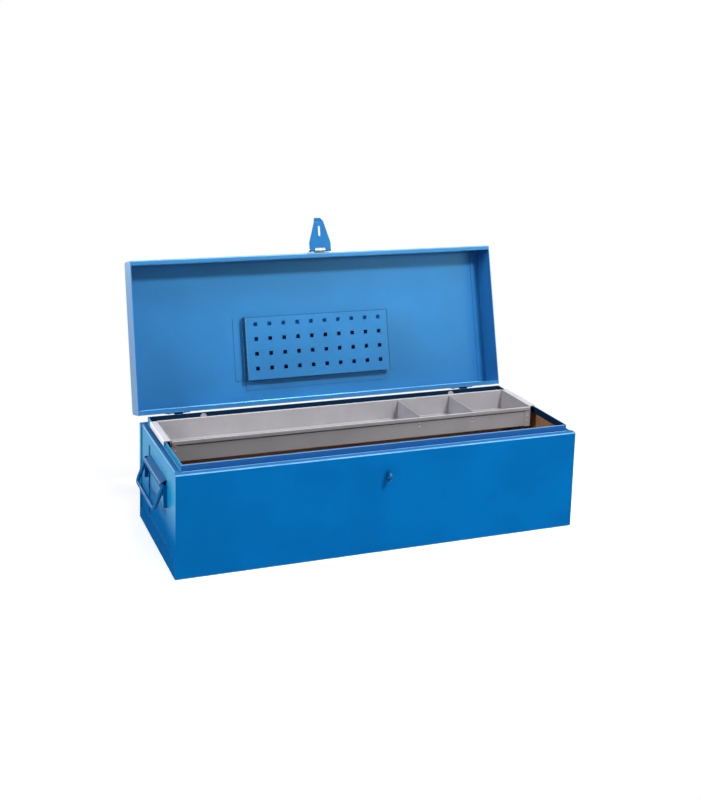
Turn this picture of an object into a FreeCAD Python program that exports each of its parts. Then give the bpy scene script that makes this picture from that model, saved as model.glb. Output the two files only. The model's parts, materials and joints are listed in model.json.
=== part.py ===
import FreeCAD
import Part
import math
import os

from FreeCAD import Vector

# Steel tool chest: a wood-lined folded body with a raised collar, a lid that stands open,
# a perforated tool panel inside the lid, a lift-in tray that slides along the end collars,
# a slotted hasp with its staple, and a drop handle on each end.
# Millimetres. X runs along the front from left to right, Y from front to back, Z up.
# The origin is the middle of the underside. The lid is drawn shut and then swung open.

# Body
body_width = 990.0
body_depth = 380.0
body_height = 240.0
shell_sheet = 2.0
inner_bend = 1.2
ledge_front = 17.0
ledge_back = 14.0
ledge_end = 17.0
collar_height = 16.0
wrap_side_margin = 18.0
wrap_bottom_margin = 28.0
seat_gap = 0.3

# Pressed recess in each end panel
recess_width = 190.0
recess_height = 174.0
recess_top = 216.0
recess_depth = 2.5
recess_bevel = 2.0
recess_corner = 8.0

# Wooden floor board and wall lining
board_thickness = 9.0
board_margin = 1.0
lining_sheet = 4.0
lining_top_gap = 4.0
lining_back_gap = 1.3

# Lid
lid_depth_of_flange = 75.0
lid_lip = 11.0
lid_tab_width = 23.0
lid_top_bend = 8.0
lid_open_angle = 104.7

# Rear hinges
hinge_inset = 103.0
hinge_width = 60.0
hinge_standoff = 11.0
hinge_leaf_sheet = 2.5
hinge_leaf_reach = 50.0
hinge_web_reach = 17.0
hinge_pin_radius = 3.0
hinge_knuckle_wall = 2.5
hinge_running_gap = 0.05
hinge_knuckle_length = 19.0
hinge_knuckle_gap = 0.4
hinge_pin_head = 1.5
hinge_stop_top = 3.0
hinge_stop_bottom = 11.0

# Tool panel
panel_width = 398.0
panel_height = 162.0
panel_standoff = 25.0
panel_flange = 26.0
panel_sheet = 1.5
panel_above_hinge_edge = 62.5
hole_pitch = 38.0
hole_side = 10.0
hole_columns = 10
hole_rows = 4
first_row_above_edge = 28.5

# Hasp and staple
hasp_pin_standoff = 7.2
hasp_pin_drop = 5.3
hasp_pin_radius = 2.2
hasp_knuckle_wall = 2.1
hasp_running_gap = 0.05
hasp_leaf_width = 62.0
hasp_leaf_height = 32.0
hasp_leaf_sheet = 2.5
hasp_middle_knuckle = 28.0
hasp_knuckle_gap = 0.5
hasp_notch_gap = 0.6
hasp_plate_sheet = 3.0
hasp_base_width = 58.0
hasp_tip_width = 26.0
hasp_square_length = 19.0
hasp_plate_length = 72.0
hasp_lip_length = 15.0
hasp_lip_tip_width = 17.0
hasp_lip_angle = 48.0
hasp_slot_width = 6.0
hasp_slot_height = 27.0
hasp_upright_angle = 90.0
staple_below_ledge = 54.0
staple_thickness = 5.0
staple_height = 22.0
staple_root_corner = 2.0
staple_hole_reach = 11.0
staple_proud = 22.0
staple_hole_radius = 5.0

# Drop handles
handle_below_recess_top = 36.0
handle_pivot_reach = 10.0
handle_rod_radius = 4.8
handle_rod_gap = 0.3
handle_width = 184.0
handle_drop = 54.9
handle_top_bend = 6.5
handle_grip_bend = 12.0
handle_rest_angle = 21.6
bracket_length = 170.0
bracket_sheet = 1.5
bracket_top_foot = 13.0
bracket_bottom_foot = 10.0
stop_sheet = 2.5
stop_gap = 2.5
stop_reach = 8.5
stop_top_above_pivot = 5.0
stop_length = 52.0
stop_lip_drop = 14.0
stop_lip_height = 12.0
stop_lip_clearance = 0.4

# Tray
tray_sheet = 1.5
tray_end_gap = 11.0
tray_front = -20.0
tray_back = 133.0
tray_depth = 51.5
tray_hem_height = 8.7
tray_hem_proud = 4.0
tray_flange_width = 16.0
hook_sheet = 1.5
hook_overlap = 4.0
hook_lip_drop = 12.0
hook_leg_drop = 18.0
hook_back_inset = 1.0
hook_front_inset = 5.0
divider_sheet = 1.2
divider_drop = 3.0
divider_hem_height = 5.0
divider_hem_sheet = 3.0
divider_flange = 14.0
divider_corner = 1.0
divider_from_right_end = (301.5, 156.0)
divider_rivet_inset = 8.0
divider_rivet_drops = (18.0, 27.0)
end_rivet_drops = (13.0, 25.0, 38.0)
tab_radius = 7.5
tab_sheet = 1.5
tab_from_left_end = 116.0
tab_from_right_end = 149.0

# Rivets
rivet_shank_radius = 2.4
rivet_hole_radius = 2.5
rivet_head_radius = 4.5
rivet_head_height = 2.0
small_rivet_scale = 0.6

# Sizes that follow from the ones above
half_width = body_width / 2
half_depth = body_depth / 2
collar_top = body_height + collar_height
lid_rim = body_height + seat_gap
lid_top = lid_rim + lid_depth_of_flange
lid_inner_face = lid_top - shell_sheet
hinge_centre = Vector(0, half_depth + hinge_standoff, body_height + seat_gap / 2)
hinge_knuckle_radius = hinge_pin_radius + hinge_running_gap + hinge_knuckle_wall
hasp_centre = Vector(0, -half_depth - hasp_pin_standoff, lid_rim - hasp_pin_drop)
hasp_knuckle_radius = hasp_pin_radius + hasp_running_gap + hasp_knuckle_wall
end_panel_face = half_width - shell_sheet
end_collar_inner_face = half_width - ledge_end - shell_sheet
recess_floor = end_panel_face - recess_depth
lining_end_face = recess_floor - shell_sheet - seat_gap
lining_bottom = shell_sheet + board_thickness + 2 * seat_gap
lining_top = body_height - shell_sheet - lining_top_gap
handle_pivot_x = recess_floor + handle_pivot_reach
handle_pivot_height = recess_top - handle_below_recess_top
tray_half_width = end_collar_inner_face - tray_end_gap
tray_top = collar_top + seat_gap + hook_sheet
tray_floor = tray_top - tray_depth
staple_height_above_floor = body_height - staple_below_ledge
x_axis = Vector(1, 0, 0)
y_axis = Vector(0, 1, 0)
z_axis = Vector(0, 0, 1)


def box(low, high):
    """A block between two corners."""
    size = high - low
    return Part.makeBox(size.x, size.y, size.z, low)


def rod(start, end, radius):
    """A round bar between two points."""
    line = end - start
    return Part.makeCylinder(radius, line.Length, start, line)


def fuse_all(shapes):
    """Join shapes into one solid with its flat faces merged."""
    joined = shapes[0].multiFuse(shapes[1:]) if len(shapes) > 1 else shapes[0]
    return joined.removeSplitter()


def rounded_wire(points, radii, to_space):
    """A closed outline through flat points, each corner rounded by its own radius."""
    edges = []
    corners = []
    count = len(points)
    for index in range(count):
        here = FreeCAD.Vector(points[index][0], points[index][1], 0)
        before = FreeCAD.Vector(points[index - 1][0], points[index - 1][1], 0)
        after = FreeCAD.Vector(points[(index + 1) % count][0], points[(index + 1) % count][1], 0)
        back = (before - here).normalize()
        onward = (after - here).normalize()
        half_angle = back.getAngle(onward) / 2
        if radii[index] <= 0 or abs(half_angle - math.pi / 2) < 1e-6:
            corners.append((here, None, here))
            continue
        cut = radii[index] / math.tan(half_angle)
        middle_line = (back + onward).normalize()
        centre = here + middle_line * (radii[index] / math.sin(half_angle))
        middle = centre - middle_line * radii[index]
        corners.append((here + back * cut, middle, here + onward * cut))
    for index in range(count):
        start, middle, end = corners[index]
        if middle is not None:
            edges.append(Part.Arc(to_space(start), to_space(middle), to_space(end)).toShape())
        following = corners[(index + 1) % count][0]
        if (following - end).Length > 1e-7:
            edges.append(Part.makeLine(to_space(end), to_space(following)))
    return Part.Wire(Part.__sortEdges__(edges))


def in_yz(x):
    """Puts a flat point (y, z) on the plane at this x."""
    return lambda point: Vector(x, point.x, point.y)


def in_xz(y):
    """Puts a flat point (x, z) on the plane at this y."""
    return lambda point: Vector(point.x, y, point.y)


def plate(points, radii, to_space, push):
    """A flat plate: an outline with rounded corners, pushed along a vector."""
    return Part.Face(rounded_wire(points, radii, to_space)).extrude(push)


def folded_outline(path, sheet, bends):
    """Outline and corner radii of a sheet whose left side lies sheet away from the path."""
    directions = []
    for start, end in zip(path[:-1], path[1:]):
        directions.append(Vector(end[0] - start[0], end[1] - start[1], 0).normalize())
    near = []
    far = []
    near_radii = []
    far_radii = []
    for index, place in enumerate(path):
        incoming = directions[max(index - 1, 0)]
        outgoing = directions[min(index, len(directions) - 1)]
        left_in = Vector(-incoming.y, incoming.x, 0)
        left_out = Vector(-outgoing.y, outgoing.x, 0)
        mitre = left_in + left_out
        mitre = mitre * (2 * sheet / mitre.dot(mitre))
        near.append(place)
        far.append((place[0] + mitre.x, place[1] + mitre.y))
        turn = incoming.x * outgoing.y - incoming.y * outgoing.x
        bend = bends[index]
        if abs(turn) < 1e-9:
            near_radii.append(0)
            far_radii.append(0)
        elif turn > 0:
            near_radii.append(bend + sheet)
            far_radii.append(bend)
        else:
            near_radii.append(bend)
            far_radii.append(bend + sheet)
    return near + far[::-1], near_radii + far_radii[::-1]


def folded_sheet(path, sheet, bend, to_space, push, wide_bends=()):
    """A folded strip of sheet metal, pushed along a vector; the corners listed bend wider."""
    bends = [lid_top_bend if index in wide_bends else bend for index in range(len(path))]
    points, radii = folded_outline(path, sheet, bends)
    return plate(points, radii, to_space, push)


def mirror_x(shape):
    """The same piece on the other end of the chest."""
    return shape.mirror(Vector(0, 0, 0), x_axis)


def swing_lid(shape):
    """Turns a piece drawn on the shut lid to its open place."""
    turned = shape.copy()
    turned.rotate(hinge_centre, x_axis, -lid_open_angle)
    return turned


def rivet(place, outward, grip, scale=1.0):
    """A domed rivet: its head stands outward of the place, its tail closes below the grip."""
    head = rivet_head_radius * scale
    rise = rivet_head_height * scale
    shank = rivet_shank_radius * scale
    sphere_radius = (head * head + rise * rise) / (2 * rise)
    sphere = Part.makeSphere(sphere_radius, place + outward * (rise - sphere_radius))
    cap = sphere.common(Part.makeCylinder(head, rise * 2, place, outward))
    stem = Part.makeCylinder(shank, grip + 2 * seat_gap, place, outward * -1)
    tail = Part.makeCylinder(shank * 1.5, rise / 2, place - outward * grip, outward * -1)
    return cap.multiFuse([stem, tail]).removeSplitter()


def rivet_hole(place, outward, grip, scale=1.0):
    """The clearance hole of a rivet through its whole grip."""
    start = place + outward
    return Part.makeCylinder(rivet_hole_radius * scale, grip + 2, start, outward * -1)


def body_wrap(holes):
    """Front, underside and back in one folded sheet, with ledges, collars and end margins."""
    path = [
        (-half_depth + ledge_front, collar_top),
        (-half_depth + ledge_front, body_height),
        (-half_depth, body_height),
        (-half_depth, 0),
        (half_depth, 0),
        (half_depth, body_height),
        (half_depth - ledge_back, body_height),
        (half_depth - ledge_back, collar_top),
    ]
    sheet = folded_sheet(path, shell_sheet, inner_bend, in_yz(-half_width), x_axis * body_width)
    for side in (-1, 1):
        beyond = half_width * side
        inside = (half_width - ledge_end) * side
        low = Vector(min(beyond, inside), -half_depth - 1, body_height)
        high = Vector(max(beyond, inside), half_depth + 1, collar_top + 1)
        sheet = sheet.cut(box(low, high))
    outline = [
        (-half_depth, body_height - shell_sheet),
        (-half_depth, 0),
        (half_depth, 0),
        (half_depth, body_height - shell_sheet),
    ]
    outer_bend = inner_bend + shell_sheet
    margin = plate(outline, [0, outer_bend, outer_bend, 0], in_yz(-half_width), x_axis * shell_sheet)
    window_low = Vector(-half_width - 1, -half_depth + wrap_side_margin, wrap_bottom_margin)
    window_high = Vector(-half_width + shell_sheet + 1, half_depth - wrap_side_margin, body_height + 1)
    margin = margin.cut(box(window_low, window_high))
    wrap = fuse_all([sheet, margin, mirror_x(margin)])
    return wrap.cut(Part.makeCompound(holes))


def end_panel():
    """The left end: a plate with a pressed recess, folded over at the top into ledge and collar."""
    outer = -end_panel_face
    inner = outer + shell_sheet
    side = half_depth - shell_sheet - seat_gap
    outline = [
        (-side, shell_sheet + seat_gap),
        (side, shell_sheet + seat_gap),
        (side, body_height - shell_sheet - seat_gap),
        (-side, body_height - shell_sheet - seat_gap),
    ]
    base = plate(outline, [inner_bend + seat_gap] * 4, in_yz(outer), x_axis * (inner - outer))
    ledge_path = [
        (outer, body_height - wrap_side_margin),
        (outer, body_height),
        (-half_width + ledge_end, body_height),
        (-half_width + ledge_end, collar_top),
    ]
    ledge_start = -half_depth + ledge_front + shell_sheet + seat_gap
    ledge_end_y = half_depth - ledge_back - shell_sheet - seat_gap
    push = y_axis * (ledge_end_y - ledge_start)
    ledge = folded_sheet(ledge_path[::-1], shell_sheet, inner_bend, in_xz(ledge_start), push)
    return fuse_all([base, ledge, recess_block(inner)]).cut(recess_block(outer))


def recess_block(x):
    """A shallow block with sloping sides, widest at this x, that forms the recess."""
    wires = []
    for inset, place in ((0, x), (recess_bevel, x + recess_depth)):
        half = recess_width / 2 - inset
        low = recess_top - recess_height + inset
        high = recess_top - inset
        outline = [(-half, low), (half, low), (half, high), (-half, high)]
        wires.append(rounded_wire(outline, [recess_corner - inset] * 4, in_yz(place)))
    return Part.makeLoft(wires, True, True)


def floor_board():
    """A plywood board that lies loose on the sheet floor."""
    half_x = half_width - 2 * shell_sheet - board_margin
    half_y = half_depth - shell_sheet - board_margin
    low = Vector(-half_x, -half_y, shell_sheet + seat_gap)
    high = Vector(half_x, half_y, shell_sheet + seat_gap + board_thickness)
    return box(low, high)


def lining_board(long_side):
    """A thin wooden board against the front, the back, or an end of the inside."""
    low_end = lining_end_face - lining_sheet
    if long_side == "end":
        reach = half_depth - shell_sheet - seat_gap
        low = Vector(-lining_end_face, -reach, lining_bottom)
        return box(low, Vector(-low_end, reach, lining_top))
    reach = low_end - seat_gap
    face = half_depth - shell_sheet - (seat_gap if long_side == "front" else lining_back_gap)
    low = Vector(-reach, face - lining_sheet, lining_bottom)
    board = box(low, Vector(reach, face, lining_top))
    if long_side == "front":
        return board.mirror(Vector(0, 0, 0), y_axis)
    return board


def lid_shell(holes):
    """Lid top, front and back flange and their turned-in lips, drawn shut."""
    path = [
        (half_depth - lid_lip, lid_rim),
        (half_depth, lid_rim),
        (half_depth, lid_top),
        (-half_depth, lid_top),
        (-half_depth, lid_rim),
        (-half_depth + lid_lip, lid_rim),
    ]
    start = -half_width + shell_sheet
    push = x_axis * (body_width - 2 * shell_sheet)
    sheet = folded_sheet(path, shell_sheet, inner_bend, in_yz(start), push, (2, 3))
    return swing_lid(sheet.cut(Part.makeCompound(holes)))


def lid_end():
    """The left end cap of the lid with the tab that is welded under the lid top."""
    outer_bend = inner_bend + shell_sheet
    outline = [
        (-half_depth, lid_rim),
        (half_depth, lid_rim),
        (half_depth, lid_top),
        (-half_depth, lid_top),
    ]
    top_outer_bend = lid_top_bend + shell_sheet
    radii = [outer_bend, outer_bend, top_outer_bend, top_outer_bend]
    cap = plate(outline, radii, in_yz(-half_width), x_axis * shell_sheet)
    reach = half_depth - shell_sheet - seat_gap - lid_top_bend
    tab = box(
        Vector(-half_width + shell_sheet, -reach, lid_inner_face - shell_sheet),
        Vector(-half_width + shell_sheet + lid_tab_width, reach, lid_inner_face),
    )
    return fuse_all([cap, tab])


def hinge_places():
    """The middle of each rear hinge along X."""
    return (-half_width + hinge_inset, half_width - hinge_inset)


def knuckle_spans(middle_length, total_length, gap):
    """X spans of the middle knuckle and of the two outer ones."""
    half_middle = middle_length / 2
    half_total = total_length / 2
    middle = [(-half_middle + gap / 2, half_middle - gap / 2)]
    outer = [(-half_total, -half_middle - gap / 2), (half_middle + gap / 2, half_total)]
    return middle, outer


def hinge_leaf(middle_x, going_up):
    """One leaf of a rear hinge: a plate on the sheet, a web and its knuckles round the pin."""
    sign = 1 if going_up else -1
    total = hinge_width
    middle, outer = knuckle_spans(total - 2 * hinge_knuckle_length, total, hinge_knuckle_gap)
    spans = middle if going_up else outer
    centre_y = hinge_centre.y
    centre_z = hinge_centre.z
    face = half_depth
    near = centre_z + sign * hinge_web_reach
    far = centre_z + sign * hinge_leaf_reach
    pieces = [
        box(
            Vector(middle_x - total / 2, face, min(near, far)),
            Vector(middle_x + total / 2, face + hinge_leaf_sheet, max(near, far)),
        )
    ]
    web = [
        (face, near + sign * hinge_leaf_sheet),
        (face + hinge_leaf_sheet, near + sign * hinge_leaf_sheet),
        (centre_y + hinge_leaf_sheet, centre_z + sign * hinge_pin_radius),
        (centre_y - hinge_leaf_sheet, centre_z + sign * hinge_pin_radius),
        (face, near),
    ]
    for low, high in spans:
        start = middle_x + low
        length = x_axis * (high - low)
        pieces.append(plate(web, [0] * len(web), in_yz(start), length))
        knuckle_start = Vector(start, centre_y, centre_z)
        pieces.append(rod(knuckle_start, knuckle_start + length, hinge_knuckle_radius))
        if going_up:
            pieces.append(hinge_stop(start, length))
    leaf = fuse_all(pieces)
    bore_start = Vector(middle_x - total, centre_y, centre_z)
    bore = rod(bore_start, bore_start + x_axis * (2 * total), hinge_pin_radius + hinge_running_gap)
    holes = [rivet_hole(*place) for place in leaf_rivets(middle_x, sign)]
    return leaf.cut(Part.makeCompound([bore] + holes))


def hinge_stop(start, length):
    """The nose on the lid's knuckle that meets the chest's back when the lid is fully open."""
    face = half_depth + seat_gap
    outline = [
        (face, hinge_centre.z - hinge_stop_top),
        (face, hinge_centre.z - hinge_stop_bottom),
        (hinge_centre.y + hinge_pin_radius, hinge_centre.z - hinge_pin_radius),
        (hinge_centre.y, hinge_centre.z),
    ]
    nose = plate(outline, [0, 1, 0, 0], in_yz(start), length)
    nose.rotate(hinge_centre, x_axis, lid_open_angle)
    return nose


def leaf_rivets(middle_x, sign):
    """Places of the three rivets of one hinge leaf, with their direction and grip."""
    face = half_depth + hinge_leaf_sheet
    grip = hinge_leaf_sheet + shell_sheet
    middle_reach = (hinge_web_reach + hinge_leaf_reach) / 2
    height = hinge_centre.z + sign * middle_reach
    step = hinge_width / 3
    return [(Vector(middle_x + step * turn, face, height), y_axis, grip) for turn in (-1, 0, 1)]


def hinge_pin(middle_x):
    """The pin of a rear hinge with a thin head at each end."""
    start = Vector(middle_x - hinge_width / 2, hinge_centre.y, hinge_centre.z)
    end = start + x_axis * hinge_width
    left_head = rod(start - x_axis * hinge_pin_head, start, hinge_knuckle_radius - 1)
    right_head = rod(end, end + x_axis * hinge_pin_head, hinge_knuckle_radius - 1)
    return fuse_all([rod(start, end, hinge_pin_radius), left_head, right_head])


def tool_panel():
    """Perforated plate on folded sides, welded to the lid by three flanges, open at the top."""
    half = panel_width / 2
    back = lid_inner_face
    front = back - panel_standoff
    low_y = half_depth - panel_above_hinge_edge - panel_height
    high_y = half_depth - panel_above_hinge_edge
    path = [
        (-half - panel_flange, back - panel_sheet),
        (-half, back - panel_sheet),
        (-half, front),
        (half, front),
        (half, back - panel_sheet),
        (half + panel_flange, back - panel_sheet),
    ]
    hat = folded_sheet(path, panel_sheet, inner_bend, in_xz(low_y), y_axis * panel_height)
    foot_path = [
        (high_y - panel_flange, front),
        (high_y, front),
        (high_y, back - panel_sheet),
        (high_y + panel_flange, back - panel_sheet),
    ]
    inner_half = half - panel_sheet
    push = x_axis * (2 * inner_half)
    foot = folded_sheet(foot_path, panel_sheet, inner_bend, in_yz(-inner_half), push)
    panel = fuse_all([hat, foot])
    return swing_lid(panel.cut(Part.makeCompound(panel_holes(front, high_y))))


def panel_holes(front, high_y):
    """Square holes of the plate, and the ones that fall on its two folded sides."""
    holes = []
    reach = hole_side / 2
    first_x = -hole_pitch * (hole_columns - 1) / 2
    wrap = hole_pitch - (panel_width / 2 + first_x)
    for row in range(hole_rows):
        y = high_y - first_row_above_edge - row * hole_pitch
        for column in range(hole_columns):
            x = first_x + column * hole_pitch
            low = Vector(x - reach, y - reach, front - panel_sheet)
            high = Vector(x + reach, y + reach, front + 2 * panel_sheet)
            holes.append(box(low, high))
        for side in (-1, 1):
            x = side * panel_width / 2
            low = Vector(x - 2 * panel_sheet, y - reach, front + wrap - reach)
            high = Vector(x + 2 * panel_sheet, y + reach, front + wrap + reach)
            holes.append(box(low, high))
    return holes


def hasp_leaf():
    """The fixed leaf of the hasp on the lid's front flange, with its middle knuckle."""
    face = -half_depth
    half = hasp_leaf_width / 2
    web_top = lid_rim + hasp_leaf_sheet
    middle, outer = knuckle_spans(hasp_middle_knuckle, hasp_base_width, hasp_knuckle_gap)
    start_x, end_x = middle[0]
    top = lid_rim + hasp_leaf_height
    leaf_plate = box(
        Vector(-half, face - hasp_leaf_sheet, web_top),
        Vector(half, face, top),
    )
    web = [
        (face - seat_gap, web_top + hasp_leaf_sheet),
        (face - hasp_leaf_sheet, web_top + hasp_leaf_sheet),
        (hasp_centre.y - hasp_knuckle_radius + hasp_knuckle_wall / 2, hasp_centre.z),
        (hasp_centre.y, hasp_centre.z + hasp_pin_radius),
        (face - seat_gap, web_top),
    ]
    web_solid = plate(web, [0] * len(web), in_yz(start_x), x_axis * (end_x - start_x))
    start = Vector(start_x, hasp_centre.y, hasp_centre.z)
    end = Vector(end_x, hasp_centre.y, hasp_centre.z)
    leaf = fuse_all([leaf_plate, web_solid, rod(start, end, hasp_knuckle_radius)])
    bore = rod(start - x_axis, end + x_axis, hasp_pin_radius + hasp_running_gap)
    holes = [rivet_hole(*place) for place in hasp_rivet_places()]
    return swing_lid(leaf.cut(Part.makeCompound([bore] + holes)))


def hasp_rivet_places():
    """Four rivets hold the hasp leaf on the lid's front flange."""
    face = -half_depth - hasp_leaf_sheet
    grip = hasp_leaf_sheet + shell_sheet
    places = []
    for x in (-hasp_leaf_width / 3, hasp_leaf_width / 3):
        for height in (hasp_leaf_height * 0.38, hasp_leaf_height * 0.78):
            places.append((Vector(x, face, lid_rim + height), y_axis * -1, grip))
    return places


def hasp_pin():
    """The hasp's hinge pin, a little longer than the knuckles."""
    half = hasp_base_width / 2
    start = Vector(-half - 2, hasp_centre.y, hasp_centre.z)
    end = Vector(half + 2, hasp_centre.y, hasp_centre.z)
    heads = [
        rod(start, start + x_axis * (2 - seat_gap), hasp_knuckle_radius - 1),
        rod(end - x_axis * (2 - seat_gap), end, hasp_knuckle_radius - 1),
    ]
    return swing_lid(fuse_all([rod(start, end, hasp_pin_radius)] + heads))


def hasp_plate():
    """The swinging hasp: two knuckles, a tapering slotted plate and a bent finger lip."""
    inner_face = hasp_centre.y + hasp_knuckle_radius
    outer_face = inner_face - hasp_plate_sheet
    top = hasp_centre.z
    bottom = top - hasp_plate_length
    base = hasp_base_width / 2
    tip = hasp_tip_width / 2
    outline = [
        (-base, top),
        (-base, top - hasp_square_length),
        (-tip, bottom),
        (tip, bottom),
        (base, top - hasp_square_length),
        (base, top),
    ]
    blade = plate(outline, [0, 3, 0, 0, 3, 0], in_xz(outer_face), y_axis * hasp_plate_sheet)
    middle, outer = knuckle_spans(hasp_middle_knuckle, hasp_base_width, hasp_knuckle_gap)
    knuckles = []
    for low, high in outer:
        start = Vector(low, hasp_centre.y, hasp_centre.z)
        knuckles.append(rod(start, Vector(high, start.y, start.z), hasp_knuckle_radius))
    lip_tip = hasp_lip_tip_width / 2
    lip_outline = [(-tip, bottom), (tip, bottom), (lip_tip, bottom - hasp_lip_length),
                   (-lip_tip, bottom - hasp_lip_length)]
    lip = plate(lip_outline, [0, 0, 3, 3], in_xz(outer_face), y_axis * hasp_plate_sheet)
    lip.rotate(Vector(0, outer_face, bottom), x_axis, -hasp_lip_angle)
    bend_start = Vector(-tip, outer_face, bottom)
    bend = rod(bend_start, Vector(tip, outer_face, bottom), hasp_plate_sheet)
    bend = bend.common(box(
        Vector(-tip, outer_face, bottom - hasp_plate_sheet),
        Vector(tip, outer_face + hasp_plate_sheet, bottom),
    ))
    blade = fuse_all([blade, bend, lip] + knuckles)
    notch_depth = hasp_knuckle_radius + hasp_notch_gap
    notch_half = hasp_middle_knuckle / 2 + hasp_knuckle_gap / 2
    notch = box(
        Vector(-notch_half, outer_face - 2, top - notch_depth),
        Vector(notch_half, inner_face + 2, top + notch_depth),
    )
    slot_middle = staple_height_above_floor
    slot_half = hasp_slot_height / 2
    slot_side = hasp_slot_width / 2
    slot_outline = [
        (-slot_side, slot_middle - slot_half),
        (slot_side, slot_middle - slot_half),
        (slot_side, slot_middle + slot_half),
        (-slot_side, slot_middle + slot_half),
    ]
    slot_push = y_axis * (hasp_plate_sheet + 4)
    slot = plate(slot_outline, [slot_side * 0.8] * 4, in_xz(outer_face - 2), slot_push)
    bore_start = Vector(-hasp_base_width, hasp_centre.y, hasp_centre.z)
    bore_end = Vector(hasp_base_width, hasp_centre.y, hasp_centre.z)
    bore = rod(bore_start, bore_end, hasp_pin_radius + hasp_running_gap)
    blade = blade.cut(Part.makeCompound([notch, slot, bore]))
    blade.rotate(hasp_centre, x_axis, -hasp_upright_angle)
    return swing_lid(blade)


def staple():
    """Padlock staple: an upright eye that is welded straight on the front."""
    middle_z = staple_height_above_floor
    tip = -half_depth - staple_proud
    half_eye = staple_height / 2
    outline = [
        (-half_depth, middle_z - half_eye),
        (-half_depth, middle_z + half_eye),
        (tip, middle_z + half_eye),
        (tip, middle_z - half_eye),
    ]
    corner = half_eye - 1
    radii = [staple_root_corner, staple_root_corner, corner, corner]
    eye = plate(outline, radii, in_yz(-staple_thickness / 2), x_axis * staple_thickness)
    hole_start = Vector(-staple_thickness, -half_depth - staple_hole_reach, middle_z)
    hole_end = hole_start + x_axis * (2 * staple_thickness)
    return eye.cut(rod(hole_start, hole_end, staple_hole_radius))


def tangent_point(outside, centre, radius, upper):
    """Where the straight line from an outside point touches a circle."""
    line = centre - outside
    distance = line.Length
    swing = math.asin(radius / distance)
    reach = math.sqrt(distance * distance - radius * radius)
    bearing = math.atan2(line.y, line.x) + (swing if upper else -swing)
    return outside + Vector(math.cos(bearing), math.sin(bearing), 0) * reach


def sleeve_face(radius, top_foot, bottom_foot):
    """A drop shape: a round nose at the pivot whose flanks run back to the end panel."""
    nose = Vector(handle_pivot_reach, 0, 0)
    top = Vector(0, top_foot, 0)
    bottom = Vector(0, -bottom_foot, 0)
    top_touch = tangent_point(top, nose, radius, True)
    bottom_touch = tangent_point(bottom, nose, radius, False)

    def to_space(point):
        return Vector(-recess_floor - point.x, -bracket_length / 2, handle_pivot_height + point.y)

    nose_tip = nose + Vector(radius, 0, 0)
    edges = [
        Part.makeLine(to_space(bottom), to_space(top)),
        Part.makeLine(to_space(top), to_space(top_touch)),
        Part.Arc(to_space(top_touch), to_space(nose_tip), to_space(bottom_touch)).toShape(),
        Part.makeLine(to_space(bottom_touch), to_space(bottom)),
    ]
    return Part.Face(Part.Wire(edges))


def handle_bracket():
    """The left handle's sleeve: a strip wrapped round the rod and welded to the end panel."""
    inner = handle_rod_radius + handle_rod_gap
    outer = inner + bracket_sheet
    spread = bracket_sheet * 1.2
    push = y_axis * bracket_length
    body = sleeve_face(outer, bracket_top_foot, bracket_bottom_foot).extrude(push)
    space = sleeve_face(inner, bracket_top_foot - spread, bracket_bottom_foot - spread)
    return body.cut(space.extrude(push))


def handle_stops():
    """Two ears beside the left bracket; a lip on each keeps the hanging grip off the panel."""
    pivot_x = -handle_pivot_x
    ear_low_y = handle_width / 2 + handle_rod_radius + stop_gap
    top = handle_pivot_height + stop_top_above_pivot
    floor_x = -end_panel_face
    ear = box(
        Vector(floor_x - stop_reach, ear_low_y, top - stop_length),
        Vector(floor_x, ear_low_y + stop_sheet, top),
    )
    swing = math.radians(handle_rest_angle)
    lip_middle = handle_pivot_height - stop_lip_drop
    rod_back = pivot_x - stop_lip_drop * math.tan(swing) + handle_rod_radius / math.cos(swing)
    lip_face = rod_back + stop_lip_clearance
    lip = box(
        Vector(lip_face, handle_width / 2 - handle_rod_radius, lip_middle - stop_lip_height / 2),
        Vector(lip_face + stop_sheet, ear_low_y + stop_sheet, lip_middle + stop_lip_height / 2),
    )
    lip.rotate(Vector(lip_face, 0, lip_middle), y_axis, handle_rest_angle)
    stop = fuse_all([ear, lip])
    return [stop, stop.mirror(Vector(0, 0, 0), y_axis)]


def handle_bail():
    """The left handle: one round bar bent into a closed loop, hanging from its sleeve."""
    half = handle_width / 2
    x = -handle_pivot_x
    top = handle_pivot_height
    bottom = top - handle_drop
    outline = [(-half, top), (half, top), (half, bottom), (-half, bottom)]
    bends = [handle_top_bend, handle_top_bend, handle_grip_bend, handle_grip_bend]
    path = rounded_wire(outline, bends, in_yz(x))
    circle = Part.makeCircle(handle_rod_radius, Vector(x, 0, bottom), y_axis)
    loop = path.makePipeShell([Part.Wire(circle)], True, False)
    loop.rotate(Vector(x, 0, top), y_axis, handle_rest_angle)
    return loop


def tray_pan(holes):
    """Tray front, floor and back in one sheet, each long edge rolled outward into a hem."""
    inner_front = tray_front + tray_sheet
    inner_back = tray_back - tray_sheet
    hem_bottom = tray_top - tray_hem_height
    path = [
        (tray_back + tray_hem_proud, hem_bottom),
        (tray_back + tray_hem_proud, tray_top),
        (inner_back, tray_top),
        (inner_back, tray_floor + tray_sheet),
        (inner_front, tray_floor + tray_sheet),
        (inner_front, tray_top),
        (tray_front - tray_hem_proud, tray_top),
        (tray_front - tray_hem_proud, hem_bottom),
    ]
    half = tray_half_width - tray_sheet
    push = x_axis * (2 * half)
    pan = folded_sheet(path, tray_sheet, tray_sheet / 3, in_yz(-half), push)
    return pan.cut(Part.makeCompound(holes))


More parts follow.
